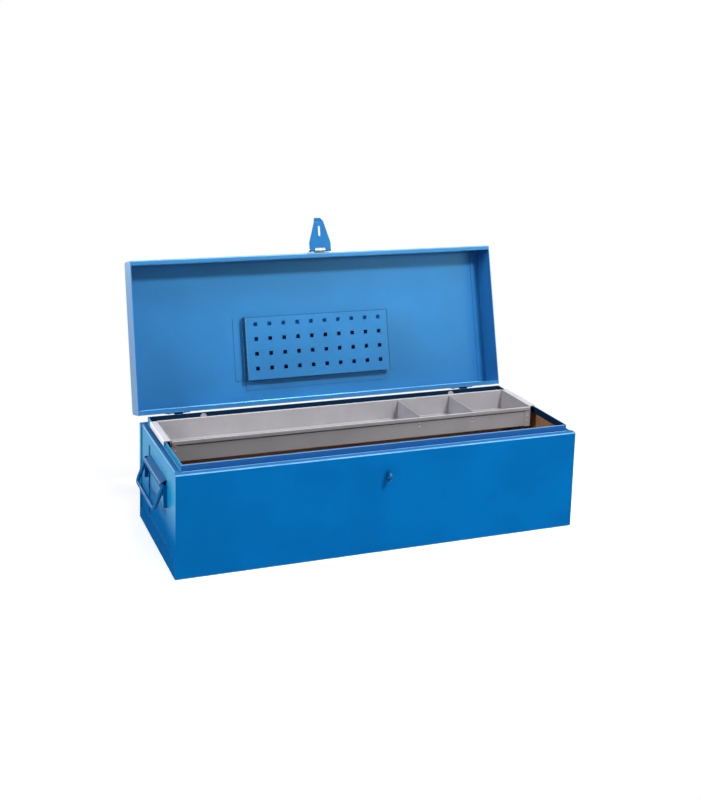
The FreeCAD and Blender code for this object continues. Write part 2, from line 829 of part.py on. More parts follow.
def tray_end(holes):
    """The tray's left end plate with a narrow flange lapped over the front and back."""
    outer = -tray_half_width
    side = box(
        Vector(outer, tray_front, tray_floor),
        Vector(outer + tray_sheet, tray_back, tray_top),
    )
    hem_bottom = tray_top - tray_hem_height
    flange_top = hem_bottom - seat_gap
    front = box(
        Vector(outer, tray_front - tray_sheet, tray_floor),
        Vector(outer + tray_flange_width, tray_front, flange_top),
    )
    back = box(
        Vector(outer, tray_back, tray_floor),
        Vector(outer + tray_flange_width, tray_back + tray_sheet, flange_top),
    )
    return fuse_all([side, front, back]).cut(Part.makeCompound(holes))


def tray_hook():
    """The left hanger: a channel that hooks over the end collar and is welded to the tray."""
    wall = -tray_half_width
    outer = -half_width + ledge_end - hook_overlap
    path = [
        (wall - hook_sheet, tray_top - hook_leg_drop),
        (wall - hook_sheet, tray_top - hook_sheet),
        (outer + hook_sheet, tray_top - hook_sheet),
        (outer + hook_sheet, tray_top - hook_lip_drop),
    ]
    start = tray_front + hook_front_inset
    push = y_axis * (tray_back - hook_back_inset - start)
    return folded_sheet(path[::-1], hook_sheet, hook_sheet / 3, in_xz(start), push)


def divider_places():
    """Where the two dividers stand along X."""
    return [tray_half_width - distance for distance in divider_from_right_end]


def tray_divider(x):
    """A cross wall with a thick rolled top and a riveted flange at each end."""
    low_y = tray_front + tray_sheet
    high_y = tray_back - tray_sheet
    floor = tray_floor + tray_sheet
    top = tray_top - divider_drop
    half_hem = divider_hem_sheet / 2
    outline = [(low_y, floor), (high_y, floor), (high_y, top), (low_y, top)]
    push = x_axis * divider_sheet
    wall = plate(outline, [divider_corner] * 4, in_yz(x - divider_sheet / 2), push)
    hem = box(
        Vector(x - half_hem, low_y + divider_sheet, top - divider_hem_height),
        Vector(x + half_hem, high_y - divider_sheet, top),
    )
    flanges = []
    for flange_low in (low_y, high_y - divider_sheet):
        flanges.append(box(
            Vector(x - divider_flange, flange_low, floor + divider_corner),
            Vector(x, flange_low + divider_sheet, top - divider_hem_height - divider_corner),
        ))
    wall = fuse_all([wall, hem] + flanges)
    holes = [rivet_hole(*place) for place in divider_rivets(x)]
    return wall.cut(Part.makeCompound(holes))


def divider_rivets(x):
    """Two small rivets at each end of a divider, through the tray's long walls."""
    grip = tray_sheet + divider_sheet
    places = []
    for below in divider_rivet_drops:
        height = tray_top - below
        across = x - divider_rivet_inset
        places.append((Vector(across, tray_front, height), y_axis * -1, grip, small_rivet_scale))
        places.append((Vector(across, tray_back, height), y_axis, grip, small_rivet_scale))
    return places


def tray_end_rivets(side):
    """Three small rivets hold each end flange on the tray's long walls."""
    grip = 2 * tray_sheet
    x = side * (tray_half_width - tray_flange_width / 2)
    places = []
    for below in end_rivet_drops:
        height = tray_top - below
        front = Vector(x, tray_front - tray_sheet, height)
        back = Vector(x, tray_back + tray_sheet, height)
        places.append((front, y_axis * -1, grip, small_rivet_scale))
        places.append((back, y_axis, grip, small_rivet_scale))
    return places


def tray_tab(x):
    """A half-round lifting tab on the outside of the tray's back hem."""
    near = tray_back + tray_hem_proud
    far = near + tab_sheet
    disc = rod(Vector(x, near, tray_top), Vector(x, far, tray_top), tab_radius)
    upper = box(Vector(x - tab_radius, near, tray_top), Vector(x + tab_radius, far, tray_top + tab_radius))
    foot = box(Vector(x - tab_radius, near, tray_top - tab_radius), Vector(x + tab_radius, far, tray_top))
    return fuse_all([disc.common(upper), foot])


def build():
    """Makes every piece and returns the nodes by name."""
    nodes = {}
    body_leaf_places = []
    lid_leaf_places = []
    for middle_x in hinge_places():
        body_leaf_places += leaf_rivets(middle_x, -1)
        lid_leaf_places += leaf_rivets(middle_x, 1)
    tray_places = []
    for side in (-1, 1):
        tray_places += tray_end_rivets(side)
    for x in divider_places():
        tray_places += divider_rivets(x)
    tray_holes = [rivet_hole(*place) for place in tray_places]
    lid_holes = [rivet_hole(*place) for place in lid_leaf_places + hasp_rivet_places()]

    nodes["body_wrap"] = body_wrap([rivet_hole(*place) for place in body_leaf_places])
    nodes["end_panel_left"] = end_panel()
    nodes["end_panel_right"] = mirror_x(nodes["end_panel_left"])
    nodes["floor_board"] = floor_board()
    nodes["lining_front"] = lining_board("front")
    nodes["lining_back"] = lining_board("back")
    nodes["lining_left"] = lining_board("end")
    nodes["lining_right"] = mirror_x(nodes["lining_left"])
    nodes["staple"] = staple()

    nodes["lid_shell"] = lid_shell(lid_holes)
    left_cap = lid_end()
    nodes["lid_end_left"] = swing_lid(left_cap)
    nodes["lid_end_right"] = swing_lid(mirror_x(left_cap))
    nodes["tool_panel"] = tool_panel()
    nodes["hasp_leaf"] = hasp_leaf()
    nodes["hasp_pin"] = hasp_pin()
    nodes["hasp_rivets"] = Part.makeCompound(
        [swing_lid(rivet(*place)) for place in hasp_rivet_places()])
    nodes["hasp_plate"] = hasp_plate()

    for name, middle_x in zip(("left", "right"), hinge_places()):
        nodes["hinge_body_leaf_" + name] = hinge_leaf(middle_x, False)
        nodes["hinge_lid_leaf_" + name] = swing_lid(hinge_leaf(middle_x, True))
        nodes["hinge_pin_" + name] = hinge_pin(middle_x)
    nodes["hinge_body_rivets"] = Part.makeCompound([rivet(*place) for place in body_leaf_places])
    nodes["hinge_lid_rivets"] = Part.makeCompound(
        [swing_lid(rivet(*place)) for place in lid_leaf_places])

    stops = handle_stops()
    nodes["handle_bracket_left"] = handle_bracket()
    nodes["handle_bracket_right"] = mirror_x(nodes["handle_bracket_left"])
    nodes["handle_stops_left"] = Part.makeCompound(stops)
    nodes["handle_stops_right"] = Part.makeCompound([mirror_x(stop) for stop in stops])
    nodes["handle_bail_left"] = handle_bail()
    nodes["handle_bail_right"] = mirror_x(nodes["handle_bail_left"])

    nodes["tray_pan"] = tray_pan(tray_holes)
    nodes["tray_end_left"] = tray_end(tray_holes)
    nodes["tray_end_right"] = mirror_x(nodes["tray_end_left"])
    nodes["tray_hook_left"] = tray_hook()
    nodes["tray_hook_right"] = mirror_x(nodes["tray_hook_left"])
    for name, x in zip(("left", "right"), divider_places()):
        nodes["tray_divider_" + name] = tray_divider(x)
    nodes["tray_tabs"] = Part.makeCompound([
        tray_tab(-tray_half_width + tab_from_left_end),
        tray_tab(tray_half_width - tab_from_right_end),
    ])
    nodes["tray_rivets"] = Part.makeCompound([rivet(*place) for place in tray_places])
    return nodes


def main():
    os.makedirs("parts", exist_ok=True)
    for name, shape in build().items():
        shape.exportStep(os.path.join("parts", name + ".step"))
        print(name, len(shape.Solids), "solids", round(shape.Volume / 1000.0, 1), "cm3",
              "valid" if shape.isValid() else "INVALID")


main()
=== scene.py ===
import json
import math

import bmesh
import bpy
from bpy.props import FloatProperty, FloatVectorProperty, IntProperty, PointerProperty
from mathutils import Matrix, Vector


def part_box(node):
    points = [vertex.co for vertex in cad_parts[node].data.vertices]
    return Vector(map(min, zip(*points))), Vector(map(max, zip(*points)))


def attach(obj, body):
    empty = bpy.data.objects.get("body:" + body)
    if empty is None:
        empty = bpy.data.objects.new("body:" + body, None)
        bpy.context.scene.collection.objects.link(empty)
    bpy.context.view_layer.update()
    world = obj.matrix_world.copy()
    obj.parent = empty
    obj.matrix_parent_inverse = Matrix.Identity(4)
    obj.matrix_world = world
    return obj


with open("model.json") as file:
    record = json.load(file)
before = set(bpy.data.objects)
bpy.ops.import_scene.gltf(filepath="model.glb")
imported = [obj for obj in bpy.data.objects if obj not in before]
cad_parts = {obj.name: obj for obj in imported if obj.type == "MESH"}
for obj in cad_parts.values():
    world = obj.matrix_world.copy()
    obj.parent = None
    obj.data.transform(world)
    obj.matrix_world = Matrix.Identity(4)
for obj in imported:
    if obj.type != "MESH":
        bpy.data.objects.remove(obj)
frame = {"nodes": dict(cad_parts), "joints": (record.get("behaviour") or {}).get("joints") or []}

bl_info = {
    "name": "Steel tool chest",
    "version": (1, 0, 0),
    "blender": (4, 5, 0),
    "location": "3D View > Sidebar > Tool chest",
    "description": "Paint, plating, welds and studio for a jointed steel tool chest",
    "category": "Object",
}

MILLIMETRE = 0.001
X_AXIS = Vector((1, 0, 0))
Z_AXIS = Vector((0, 0, 1))
SIDES = ("left", "right")
WHITE = (1.0, 1.0, 1.0)
SENSOR_MILLIMETRES = 36.0

# How squarely a face looks along a direction: the cosine of the angle between the two
MOSTLY = 0.5
SQUARELY = 0.9
BENT, FLAT = 0.955, 0.992
BROAD = 0.93

# Places that tell the faces of the chest apart
END_SKIN = 3.5 * MILLIMETRE
RECESS_SKIN = 4 * MILLIMETRE
FLOOR_LEVEL = 10 * MILLIMETRE
LEDGE_LEVEL = 100 * MILLIMETRE

# Widths of the patterns in the blue paint
CLOUD = 160 * MILLIMETRE
SPECK = 4.5 * MILLIMETRE
SCUFF = 50 * MILLIMETRE
SCRATCH = 12 * MILLIMETRE
WIPED_EDGE = 80 * MILLIMETRE
WIPED_DRIFT = 30 * MILLIMETRE

# Steps from a spot weld's rim inwards: width as a share of its radius, height of its rise
SPOT_STEPS = ((0.22, 1.0), (0.26, 0.0), (0.22, -0.6))

# Rows of spot welds on the ends
MARGIN_ROW = 9 * MILLIMETRE
BOTTOM_ROW = 14 * MILLIMETRE
ROW_END = 40 * MILLIMETRE
ROW_TOP = 215 * MILLIMETRE

# Rows of spot welds on the tool panel's flanges
PANEL_SHEET = 1.5 * MILLIMETRE
FLANGE_ROW = 12 * MILLIMETRE
SIDE_ROW_END = 38 * MILLIMETRE
LONG_ROW_END = 45 * MILLIMETRE
LONG_ROW_GAIN = 1.3

# Where each lamp stands, where it points, and its width and height, in metres
LAMPS = {
    "top": ((0.2, -0.8, 3.2), (0.0, 0.1, 0.2), (1.6, 1.0)),
    "key": ((1.0, -2.1, 2.7), (0.0, 0.1, 0.4), (0.42, 0.42)),
    "sheen": ((1.8, -2.3, 1.45), (0.2, 0.2, 0.4), (1.4, 0.35)),
    "fill": ((-2.9, -0.45, 1.5), (0.0, 0.1, 0.35), (0.9, 0.9)),
    "back": ((-1.3, 2.3, 0.6), (-0.5, -0.1, 0.17), (0.4, 0.4)),
}


class PaintSettings(bpy.types.PropertyGroup):
    """Colours and surface of the paint, the plating and the wood."""

    shell: FloatVectorProperty(
        name="Shell blue", description="Paint of the chest", subtype="COLOR", size=3,
        default=(0.001, 0.124, 0.375), min=0.0, max=1.0)
    lid: FloatVectorProperty(
        name="Lid blue", description="Paint of the lid and the tool panel", subtype="COLOR", size=3,
        default=(0.016, 0.150, 0.405), min=0.0, max=1.0)
    fittings: FloatVectorProperty(
        name="Fittings blue", description="Paint of the hinges, staple and handles",
        subtype="COLOR", size=3, default=(0.0, 0.108, 0.315), min=0.0, max=1.0)
    # A dark colour on the faces that look into the shell
    inside_colour: FloatVectorProperty(
        name="Inside primer", description="Dark primer on the inside of the chest", subtype="COLOR",
        size=3, default=(0.006, 0.024, 0.062), min=0.0, max=1.0)
    tray: FloatVectorProperty(
        name="Tray grey", description="Paint of the tray", subtype="COLOR", size=3,
        default=(0.395, 0.385, 0.405), min=0.0, max=1.0)
    # Painted highlight: how much lighter the hooks are painted than the tray
    hook_highlight_gain: FloatProperty(
        name="Hook gain", description="How much lighter the tray's hooks are rubbed", default=1.75,
        min=0.0)
    plating: FloatVectorProperty(
        name="Plating", description="Zinc plating of the pins and the hasp's leaf", subtype="COLOR",
        size=3, default=(0.58, 0.60, 0.64), min=0.0, max=1.0)
    board: FloatVectorProperty(
        name="Board", description="Plywood of the floor board and the lining", subtype="COLOR",
        size=3, default=(0.33, 0.165, 0.075), min=0.0, max=1.0)
    roughness: FloatProperty(
        name="Paint roughness", description="Roughness of the blue paint", subtype="FACTOR",
        default=0.30, min=0.05, max=1.0)
    shell_gloss: FloatProperty(
        name="Shell gloss", description="Strength of the shell's mirror reflection",
        subtype="FACTOR", default=0.0, min=0.0, max=1.0)
    lid_gloss: FloatProperty(
        name="Lid gloss", description="Strength of the lid's mirror reflection",
        subtype="FACTOR", default=0.7, min=0.0, max=1.0)
    # Between these two heights the ends go from a darker painted shade without gloss to a paler
    # painted sheen with gloss
    dull_height: FloatProperty(
        name="Dull height", description="The ends are dusty and dull below this height",
        subtype="DISTANCE", default=0.065)
    wiped_height: FloatProperty(
        name="Wiped height", description="The ends are wiped glossy above this height",
        subtype="DISTANCE", default=0.18)
    # These two lighten the bends, partly for rubbing and partly as a painted highlight
    rub_and_highlight_gain: FloatProperty(
        name="Rubbed gain", description="How much lighter the paint is where bends are rubbed",
        default=1.4, min=0.0)
    rub_and_highlight_lift: FloatVectorProperty(
        name="Rubbed lift", description="Colour added to the paint where bends are rubbed",
        subtype="COLOR", size=3, default=(0.19, 0.28, 0.25), min=0.0, max=1.0)
    # Painted shade: the ends are painted darker than the front by this gain
    end_shade_gain: FloatProperty(
        name="End gain", description="How light the dusty paint of the ends is against the front",
        default=0.86, min=0.0)
    # Painted sheen: the paler blue painted on the upper ends
    painted_sheen_blue: FloatVectorProperty(
        name="Wiped blue", description="Paint of the ends where it is wiped", subtype="COLOR",
        size=3, default=(0.0, 0.235, 0.480), min=0.0, max=1.0)
    # A greyer blue that the faces looking up are blended towards
    upward_grey: FloatVectorProperty(
        name="Dust", description="Dusty paint of the ledges that face up", subtype="COLOR",
        size=3, default=(0.060, 0.190, 0.380), min=0.0, max=1.0)
    # Painted shade: the front of the collar is painted this darker blue
    collar: FloatVectorProperty(
        name="Collar blue", description="Paint of the collar that the lid shuts over",
        subtype="COLOR", size=3, default=(0.018, 0.100, 0.310), min=0.0, max=1.0)
    wiped: FloatProperty(
        name="Wiped gloss", description="Strength of the clear gloss where the ends are wiped",
        subtype="FACTOR", default=0.5, min=0.0, max=1.0)
    clear: FloatProperty(
        name="Clear gloss", description="Strength of the clear gloss on the rest of the shell",
        subtype="FACTOR", default=0.015, min=0.0, max=1.0)
    wiped_roughness: FloatProperty(
        name="Wiped roughness", description="Roughness of the glossy part of the ends",
        subtype="FACTOR", default=0.30, min=0.05, max=1.0)
    shell_sheen: FloatVectorProperty(
        name="Shell sheen", description="Tint of what the shell's paint mirrors", subtype="COLOR",
        size=3, default=(0.10, 0.60, 1.0), min=0.0, max=1.0)
    lid_sheen: FloatVectorProperty(
        name="Lid sheen", description="Tint of what the lid's paint mirrors", subtype="COLOR",
        size=3, default=(0.36, 0.85, 1.0), min=0.0, max=1.0)
    peel_size: FloatProperty(
        name="Orange peel", description="Width of one dimple in the sprayed paint",
        subtype="DISTANCE", default=0.0028, min=0.0005, max=0.02)
    wave_size: FloatProperty(
        name="Sheet waves", description="Width of the slow waves in the thin sheet",
        subtype="DISTANCE", default=0.22, min=0.02, max=1.0)


class DetailSettings(bpy.types.PropertyGroup):
    """Sizes of the spot welds, the recess and the collar, and of the places where painted shade and
    painted highlights show.
    """

    spot_radius: FloatProperty(
        name="Spot weld radius", description="Radius of one spot weld's dimple",
        subtype="DISTANCE", default=0.0035, min=0.001, max=0.01)
    spot_rise: FloatProperty(
        name="Spot weld rise", description="Height of the ring round a spot weld",
        subtype="DISTANCE", default=0.0003, min=0.0001, max=0.002)
    spot_pitch: FloatProperty(
        name="Spot weld pitch", description="Distance from one spot weld to the next",
        subtype="DISTANCE", default=0.055, min=0.01, max=0.3)
    recess_width: FloatProperty(
        name="Recess width", description="Width of the recess in each end",
        subtype="DISTANCE", default=0.190)
    recess_height: FloatProperty(
        name="Recess height", description="Height of the recess in each end",
        subtype="DISTANCE", default=0.174)
    recess_top: FloatProperty(
        name="Recess top", description="Height of the recess's upper edge above the underside",
        subtype="DISTANCE", default=0.216)
    collar_height: FloatProperty(
        name="Collar height", description="Height of the collar above the ledge",
        subtype="DISTANCE", default=0.0155)
    # Painted highlight on the collar's upper rim
    rim_highlight_height: FloatProperty(
        name="Rubbed rim", description="Height of the collar's rubbed upper rim",
        subtype="DISTANCE", default=0.0016)
    # Painted shade along the tool panel's upper and right edges
    line_width: FloatProperty(
        name="Edge dirt", description="Width of the dirt along the tool panel's edges",
        subtype="DISTANCE", default=0.0018)
    # Painted shade along each recess's front edge, and 0.7 as wide along its top
    recess_shade_width: FloatProperty(
        name="Dirt width", description="Width of the dirt along the recess's front edge",
        subtype="DISTANCE", default=0.0072)
    spot_sides: IntProperty(
        name="Spot weld sides", description="Sides of one spot weld's circle",
        default=16, min=8, max=48)


class CameraSettings(bpy.types.PropertyGroup):
    """The viewpoint, in pixels of the photograph's frame."""

    frame_width: FloatProperty(
        name="Frame width", description="Width of the photograph in pixels", default=701.0)
    frame_height: FloatProperty(
        name="Frame height", description="Height of the photograph in pixels", default=800.0)
    axis_x: FloatProperty(
        name="Axis X", description="Pixel column that the lens axis meets", default=350.5)
    axis_y: FloatProperty(
        name="Axis Y", description="Pixel row that the lens axis meets", default=240.0)
    focal_pixels: FloatProperty(
        name="Focal length", description="Focal length in pixels", default=1217.1)
    azimuth: FloatProperty(
        name="Azimuth", description="Turn of the camera about the vertical", subtype="ANGLE",
        default=math.radians(-21.47))
    elevation: FloatProperty(
        name="Elevation", description="Angle of the camera above the horizon", subtype="ANGLE",
        default=math.radians(9.6))
    roll: FloatProperty(
        name="Roll", description="Tilt of the camera about its own axis", subtype="ANGLE",
        default=math.radians(1.5))
    distance: FloatProperty(
        name="Distance", description="From the aimed point to the camera", subtype="DISTANCE",
        default=2.8708)
    target: FloatVectorProperty(
        name="Aimed point", description="Point that the lens axis goes through",
        subtype="TRANSLATION", size=3, default=(-0.032, 0.0, 0.7032))


class StageSettings(bpy.types.PropertyGroup):
    """The floor and the lamps."""

    floor_size: FloatProperty(
        name="Floor size", description="Side of the square floor", subtype="DISTANCE", default=40.0)
    floor_grey: FloatProperty(
        name="Floor grey", description="How much light the floor gives back", subtype="FACTOR",
        default=0.8, min=0.0, max=1.0)
    floor_glow: FloatProperty(
        name="Floor glow", description="White added to the floor where it is looked at",
        default=0.56, min=0.0, max=1.0)
    floor_near: FloatProperty(
        name="Shadow reach", description="Up to here the floor keeps its shading",
        subtype="DISTANCE", default=0.10)
    floor_far: FloatProperty(
        name="White reach", description="From here on the floor is plain white",
        subtype="DISTANCE", default=0.45)
    room_white: FloatProperty(
        name="White room", description="The room looks white up to this height", subtype="ANGLE",
        default=math.radians(12))
    room_dim: FloatProperty(
        name="Dim room", description="The room looks dim from this height up", subtype="ANGLE",
        default=math.radians(28))
    room_level: FloatProperty(
        name="Ceiling", description="How bright the room looks overhead", default=0.25,
        min=0.0, max=1.0)
    sky: FloatProperty(
        name="Room light", description="Strength of the even light of the room",
        default=0.03, min=0.0, max=2.0)
    top_power: FloatProperty(
        name="Top light", description="Power of the wide soft light above", unit="POWER",
        default=34.0, min=0.0)
    key_power: FloatProperty(
        name="Key light", description="Power of the light above, in front and on the right",
        unit="POWER", default=94.0, min=0.0)
    veil_power: FloatProperty(
        name="Sheen light", description="Power of the low light on the right that the lid mirrors",
        unit="POWER", default=12.0, min=0.0)
    fill_power: FloatProperty(
        name="Fill light", description="Power of the soft light on the left", unit="POWER",
        default=60.0, min=0.0)
    back_power: FloatProperty(
        name="Back light", description="Power of the small light behind on the left",
        unit="POWER", default=13.0, min=0.0)


def choices():
    """The settings that the operators read."""
    return bpy.context.scene.tool_chest


class ToolChestSettings(bpy.types.PropertyGroup):
    """All settings of the tool chest."""

    paint: PointerProperty(type=PaintSettings)
    detail: PointerProperty(type=DetailSettings)
    camera: PointerProperty(type=CameraSettings)
    stage: PointerProperty(type=StageSettings)


class Wire:
    """A shader socket that takes part in sums, so that shader maths reads as arithmetic."""

    def __init__(self, finish, socket):
        self.finish = finish
        self.socket = socket

    def maths(self, operation, *values):
        return self.finish.node("ShaderNodeMath", {"operation": operation}, dict(enumerate(values)))

    def __add__(self, other):
        return self.maths("ADD", self, other)

    def __radd__(self, other):
        return self.maths("ADD", other, self)

    def __sub__(self, other):
        return self.maths("SUBTRACT", self, other)

    def __rsub__(self, other):
        return self.maths("SUBTRACT", other, self)

    def __mul__(self, other):
        return self.maths("MULTIPLY", self, other)

    def __rmul__(self, other):
        return self.maths("MULTIPLY", other, self)

    def __pow__(self, other):
        return self.maths("POWER", self, other)

    def __lt__(self, other):
        return self.maths("LESS_THAN", self, other)

    def __gt__(self, other):
        return self.maths("GREATER_THAN", self, other)

    def size(self):
        return self.maths("ABSOLUTE", self)

    def most(self, other):
        return self.maths("MAXIMUM", self, other)


class Nodes:
    """A node tree with the few kinds of node that the chest and its studio need."""

    def __init__(self, tree):
        self.tree = tree

    def node(self, kind, settings, inputs, output=0):
        """Adds one node: its settings first, then the values or links of its sockets."""
        made = self.tree.nodes.new(kind)
        for name, value in settings.items():
            if name == "stops":
                self.fill_ramp(made.color_ramp, value)
            else:
                setattr(made, name, value)
        for name, value in inputs.items():
            self.join(value, made.inputs[name])
        return Wire(self, made.outputs[output])

    def fill_ramp(self, ramp, stops):
        """Gives a colour ramp its stops."""
        while len(ramp.elements) < len(stops):
            ramp.elements.new(0.5)
        for element, (position, colour) in zip(ramp.elements, stops):
            element.position = position
            element.color = (*colour, 1.0)

    def join(self, value, socket):
        """Links a wire to a socket, or sets a constant on it."""
        if isinstance(value, Wire):
            self.tree.links.new(value.socket, socket)
        elif hasattr(value, "__len__") and len(value) == 3 and socket.type == "RGBA":
            socket.default_value = (*value, 1.0)
        else:
            socket.default_value = value

    def blend(self, factor, first, second):
        """Mixes two colours."""
        made = self.tree.nodes.new("ShaderNodeMix")
        made.data_type = "RGBA"
        for name, value in (("Factor", factor), ("A", first), ("B", second)):
            fitting = "VALUE" if name == "Factor" else "RGBA"
            sockets = [s for s in made.inputs if s.name == name and s.type == fitting]
            self.join(value, sockets[0])
        return Wire(self, next(s for s in made.outputs if s.type == "RGBA"))

    def steps(self, value, low, high):
        """A smooth ramp from 0 at low to 1 at high."""
        return self.node(
            "ShaderNodeMapRange", {"interpolation_type": "SMOOTHSTEP", "clamp": True},
            {"Value": value, "From Min": low, "From Max": high, "To Min": 0.0, "To Max": 1.0})

    def axes(self, vector):
        """The three parts of a vector as wires."""
        return [
            self.node("ShaderNodeSeparateXYZ", {}, {"Vector": vector}, axis) for axis in "XYZ"]

    def seen(self):
        """1 for what the camera sees, directly or in a reflection or through glass."""
        rays = ("Is Camera Ray", "Is Glossy Ray", "Is Transmission Ray")
        camera, glossy, through = [self.node("ShaderNodeLightPath", {}, {}, ray) for ray in rays]
        return camera.most(glossy).most(through)


class Finish(Nodes):
    """A node material of one finish."""

    def __init__(self, name):
        self.material = bpy.data.materials.new(name)
        self.material.use_nodes = True
        super().__init__(self.material.node_tree)
        self.surface = self.tree.nodes["Principled BSDF"]
        self.place = self.node("ShaderNodeTexCoord", {}, {}, "Object")
        self.facing = self.node("ShaderNodeTexCoord", {}, {}, "Normal")

    def set(self, **sockets):
        """Sets sockets of the surface shader, named with _ for a space."""
        for name, value in sockets.items():
            self.join(value, self.surface.inputs[name.replace("_", " ")])

    def noise(self, size, detail=2.0, roughness=0.5, stretch=(1, 1, 1), distortion=0.0):
        """Cloudy noise of about this grain, from 0 to 1, longer where stretch is smaller."""
        place = self.node(
            "ShaderNodeMapping", {"vector_type": "POINT"},
            {"Vector": self.place, "Scale": stretch})
        return self.node(
            "ShaderNodeTexNoise", {"noise_dimensions": "3D"},
            {"Vector": place, "Scale": 1 / size, "Detail": detail, "Roughness": roughness,
             "Distortion": distortion}, "Fac")

    def inside(self):
        """1 on the faces of the open shell that look towards its inside, 0 on its outside."""
        x, y, z = self.axes(self.place)
        across, along, up = self.axes(self.facing)
        between_ends = x.size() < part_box("body_wrap")[1].x - END_SKIN
        end_walls = x * across < -MOSTLY * x.size()
        long_walls = (y * along < -MOSTLY * y.size()) * between_ends
        under_ledge = (z > LEDGE_LEVEL) * (up < -MOSTLY) * between_ends
        on_floor = (z < FLOOR_LEVEL) * (up > MOSTLY) * between_ends
        return end_walls.most(long_walls).most(under_ledge).most(on_floor)

    def wiped_and_sheen_end(self):
        """1 on the upper part of the two ends, where the paint is wiped glossy and a paler blue is
        painted as sheen, 0 elsewhere.
        """
        paint = choices().paint
        end = self.axes(self.facing)[0].size() > MOSTLY
        drift = (self.noise(WIPED_EDGE, detail=3.0) - 0.5) * WIPED_DRIFT
        height = self.axes(self.place)[2] + drift
        return end * self.steps(height, paint.dull_height, paint.wiped_height)

    def own_directions(self, turn):
        """How far the surface faces along the three directions of a sheet turned about X."""
        facing = self.node(
            "ShaderNodeMapping", {"vector_type": "NORMAL"},
            {"Vector": self.facing, "Rotation": (turn, 0, 0)})
        return [part.size() for part in self.axes(facing)]

    def bends(self, turn):
        """1 where the sheet bends and faces none of its own three directions, 0 on its flats."""
        across, along, up = self.own_directions(turn)
        return 1 - self.steps(across.most(along).most(up), BENT, FLAT)

    def recess(self):
        """1 in the recess pressed into each end and on its slopes, 0 elsewhere."""
        detail = choices().detail
        x, y, z = self.axes(self.place)
        half, top = detail.recess_width / 2, detail.recess_top
        outside = x.size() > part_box("body_wrap")[1].x - RECESS_SKIN
        return outside * (y.size() < half) * (z < top) * (z > top - detail.recess_height)

    def recess_shade(self):
        """1 along the front and the top of each recess, where shade is painted, 0 elsewhere."""
        detail = choices().detail
        y, z = self.axes(self.place)[1:]
        front = y < detail.recess_shade_width - detail.recess_width / 2
        top = z > detail.recess_top - detail.recess_shade_width * 0.7
        return self.recess() * front.most(top)

    def collar_rim_highlight(self):
        """1 on the upper rim of the collar, where a highlight is painted, 0 below it."""
        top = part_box("body_wrap")[1].z
        return self.axes(self.place)[2] > top - choices().detail.rim_highlight_height

    def edge_shade(self, plate, turn):
        """1 in the painted shade along the upper and right edges of a plate fixed inside the lid.
        """
        detail = choices().detail
        back = open_lid_turn().inverted()
        shut = self.node(
            "ShaderNodeMapping", {"vector_type": "POINT"},
            {"Vector": self.place, "Location": back.to_translation(), "Rotation": back.to_euler()})
        x, y, z = self.axes(shut)
        points = shut_points(plate)
        lowest = min(point.z for point in points)
        face = [point for point in points if point.z < lowest + 0.1 * MILLIMETRE]
        right = x > max(point.x for point in face) - detail.line_width
        upper = y < min(point.y for point in face) + detail.line_width
        on_face = (z < lowest + MILLIMETRE) * (self.own_directions(turn)[2] > SQUARELY)
        return on_face * right.most(upper)

    def rims(self, turn):
        """1 on the rims, bends and standing walls of a folded plate, 0 on its broad faces."""
        return self.own_directions(turn)[2] < BROAD

    def bump(self, height, distance, strength=1.0):
        """Feeds a height into the surface's normal, on top of what is there."""
        normal = self.surface.inputs["Normal"]
        inputs = {"Height": height, "Distance": distance, "Strength": strength}
        if normal.is_linked:
            inputs["Normal"] = Wire(self, normal.links[0].from_socket)
        self.set(Normal=self.node("ShaderNodeBump", {}, inputs))


def shade(colour, factor):
    """The same colour, lighter or darker."""
    return tuple(channel * factor for channel in colour)


